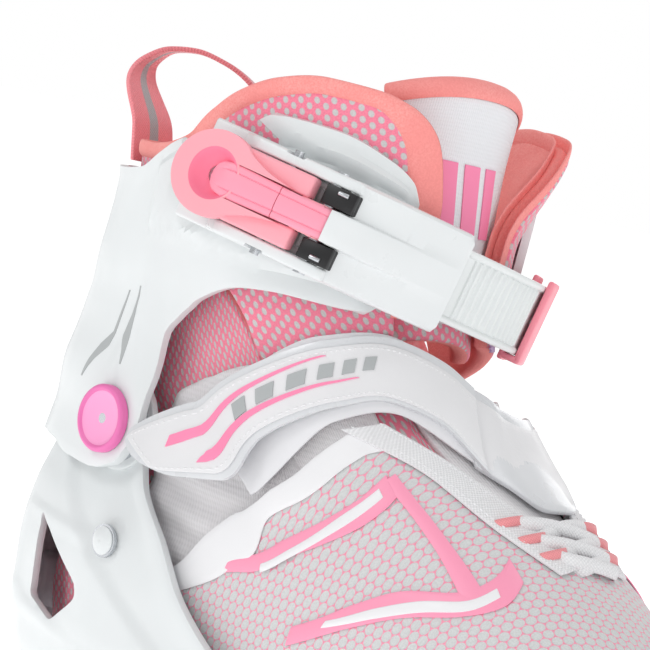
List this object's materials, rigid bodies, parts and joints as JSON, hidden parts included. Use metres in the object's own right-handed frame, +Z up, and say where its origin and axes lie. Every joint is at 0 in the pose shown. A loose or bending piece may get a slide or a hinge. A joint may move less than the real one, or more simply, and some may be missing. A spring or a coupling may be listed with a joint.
{
  "type": "ice skate",
  "caption": "Size-adjustable recreational ice skate: soft mesh boot in a hinged plastic shell with ratchet buckle, instep strap, lacing and a steel blade.",
  "frame": {"origin": "on the flat of the blade's lower edge, midway along the flat, in the blade's mid plane", "axes": "+X towards the toe, +Y towards the inner (medial) side of a right foot, +Z up"},
  "size_m": [0.3085, 0.1381, 0.285],
  "materials": {
    "white_plastic": "moulded, satin",
    "sole_plastic": "moulded, fine grain",
    "holder_plastic": "moulded, satin",
    "pink_plastic": "moulded, satin",
    "cap_pink": "moulded, satin",
    "black_plastic": "moulded",
    "blade_steel": "ground and polished",
    "bright_steel": "plated",
    "spring_steel": "drawn wire",
    "foam": "closed-cell foam",
    "footbed_fabric": "brushed knit",
    "pink_mesh": "air mesh over grey backing",
    "coral_lining": "soft brushed lining",
    "white_synthetic": "smooth synthetic leather",
    "white_knit": "stretch knit",
    "strap_synthetic": "synthetic leather with a clear moulded edge",
    "loop_fabric": "fuzzy loop tape",
    "pink_webbing": "flat webbing with a grey centre stripe",
    "lilac_tape": "pinked tape",
    "vamp_mesh": "open mesh with welded film bands",
    "white_lace": "braided lace",
    "white_ribbon": "grosgrain tape",
    "coral_loop": "webbing"
  },
  "bodies": {
    "skate": {"base_shell": "white_plastic", "heel_bumper": "white_plastic", "sole_plate": "sole_plastic", "blade_holder": "holder_plastic", "blade": "blade_steel", "blade_bolts": "bright_steel", "holder_screws": "bright_steel", "heel_wedge": "foam", "footbed": "footbed_fabric", "foot_liner": "pink_mesh", "gusset": "white_knit", "tongue_lower": "white_synthetic", "loop_pad": "loop_fabric", "instep_strap": "strap_synthetic", "pivot_bolts": "bright_steel", "pivot_nuts": "bright_steel", "pivot_washers": "bright_steel", "shell_rivets": "bright_steel", "rivet_domes": "white_plastic", "button_spring": "spring_steel"},
    "cuff": {"cuff": "white_plastic", "pivot_caps": "cap_pink", "collar_liner": "pink_mesh", "collar_binding": "coral_lining", "tongue_upper": "coral_lining", "tongue_face": "white_synthetic", "tongue_top": "coral_lining", "pull_loop": "pink_webbing", "medial_flap_tape": "lilac_tape", "buckle_base": "white_plastic", "strap_guide": "white_plastic", "buckle_rivets": "bright_steel", "lever_axle": "bright_steel", "lock_pin": "bright_steel", "pawl_spring": "spring_steel"},
    "holding_pawl": {"holding_pawl": "black_plastic"},
    "lever": {"buckle_lever": "pink_plastic", "trigger_pin": "bright_steel", "trigger_spring": "spring_steel", "drive_pin": "bright_steel", "drive_spring": "spring_steel"},
    "trigger": {"release_trigger": "pink_plastic"},
    "drive_pawl": {"drive_pawl": "black_plastic"},
    "ladder": {"ladder_strap": "white_plastic", "strap_anchor": "pink_plastic", "anchor_rivet": "bright_steel"},
    "forefoot": {"toe_sole": "sole_plastic", "toe_cap": "pink_plastic", "vamp": "vamp_mesh", "eyestay_lateral": "white_ribbon", "eyestay_medial": "white_ribbon", "laces": "white_lace", "lace_loops": "coral_loop", "size_rack": "black_plastic"},
    "size_button": {"size_button": "pink_plastic"},
    "strap_flap": {"instep_strap_flap": "strap_synthetic"}
  },
  "joints": [
    {"name": "cuff_lean", "type": "hinge", "parent": "skate", "child": "cuff", "pos_m": [-0.045, 0, 0.15], "axis": [0, 1, 0], "range_deg": [-3, 3]},
    {"name": "buckle_lever", "type": "hinge", "parent": "cuff", "child": "lever", "pos_m": [0.02973, -0.05358, 0.22824], "axis": [0.12, 0.1736, 0.9775], "range_deg": [0, 75]},
    {"name": "release_trigger", "type": "hinge", "parent": "lever", "child": "trigger", "pos_m": [0.00821, -0.0636, 0.23266], "axis": [0.12, 0.1736, 0.9775], "range_deg": [0, 8], "stiffness_Nm_per_rad": 0.1, "springref_deg": -17.19, "deforming": ["trigger_spring"]},
    {"name": "drive_pawl", "type": "hinge", "parent": "lever", "child": "drive_pawl", "pos_m": [0.02259, -0.05701, 0.22973], "axis": [0.12, 0.1736, 0.9775], "range_deg": [0, 8], "stiffness_Nm_per_rad": 0.05, "springref_deg": -17.19, "deforming": ["drive_spring"]},
    {"name": "holding_pawl", "type": "hinge", "parent": "cuff", "child": "holding_pawl", "pos_m": [0.02973, -0.05358, 0.22824], "axis": [-0.12, -0.1736, -0.9775], "range_deg": [0, 7], "stiffness_Nm_per_rad": 0.1, "springref_deg": -17.19, "deforming": ["pawl_spring"]},
    {"name": "ladder_strap", "type": "hinge", "parent": "cuff", "child": "ladder", "pos_m": [-0.008, 0.002, 0.223], "axis": [0.12, 0.1736, 0.9775], "range_deg": [-2, 8]},
    {"name": "forefoot_size", "type": "slide", "parent": "skate", "child": "forefoot", "axis": [1, 0, 0], "range_m": [0, 0.02]},
    {"name": "size_button", "type": "slide", "parent": "skate", "child": "size_button", "axis": [0, 1, 0], "range_m": [0, 0.0035], "stiffness_N_per_m": 250, "springref_m": -0.002, "deforming": ["button_spring"]},
    {"name": "strap_flap", "type": "hinge", "parent": "skate", "child": "strap_flap", "pos_m": [0.07097, -0.00758, 0.177], "axis": [-0.7088, 0.3003, 0.6383], "range_deg": [0, 35]}
  ]
}
